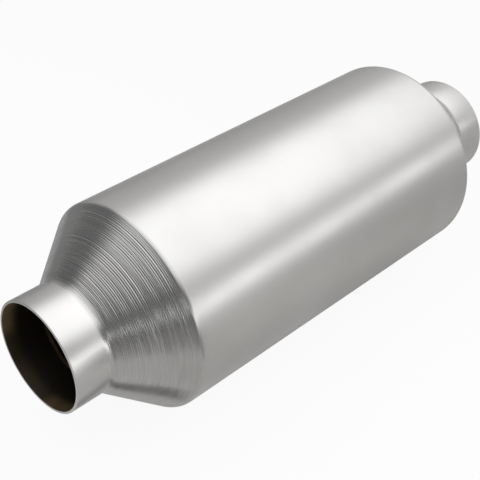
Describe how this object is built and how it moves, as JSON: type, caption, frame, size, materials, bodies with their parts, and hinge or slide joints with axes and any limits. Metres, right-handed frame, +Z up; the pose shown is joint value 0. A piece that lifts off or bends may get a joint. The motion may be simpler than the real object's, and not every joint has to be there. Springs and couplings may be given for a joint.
{
  "type": "catalytic converter",
  "caption": "Round in-line exhaust catalytic converter with spun cone ends, plain slip-fit necks and ceramic honeycomb inside.",
  "frame": {"origin": "centre of the inlet's end face, on the axis of the inlet bore", "axes": "+X along the axis from the inlet to the outlet, the way the gas flows; +Z up as it hangs under a vehicle"},
  "size_m": [0.3556, 0.127, 0.127],
  "materials": {
    "spun_steel": "bare stainless steel, satin on the body and necks, ringed by fine spinning grooves on the cones, browned inside",
    "honeycomb_ceramic": "matt porous ceramic with a washcoat",
    "fibre_mat": "felted ceramic fibre with flakes of mineral",
    "knitted_wire": "pressed knitted stainless wire"
  },
  "bodies": {
    "root": {"shell": "spun_steel", "front_brick": "honeycomb_ceramic", "front_mat": "fibre_mat", "front_mat_seal": "knitted_wire", "rear_brick": "honeycomb_ceramic", "rear_mat": "fibre_mat", "rear_mat_seal": "knitted_wire"}
  },
  "joints": []
}
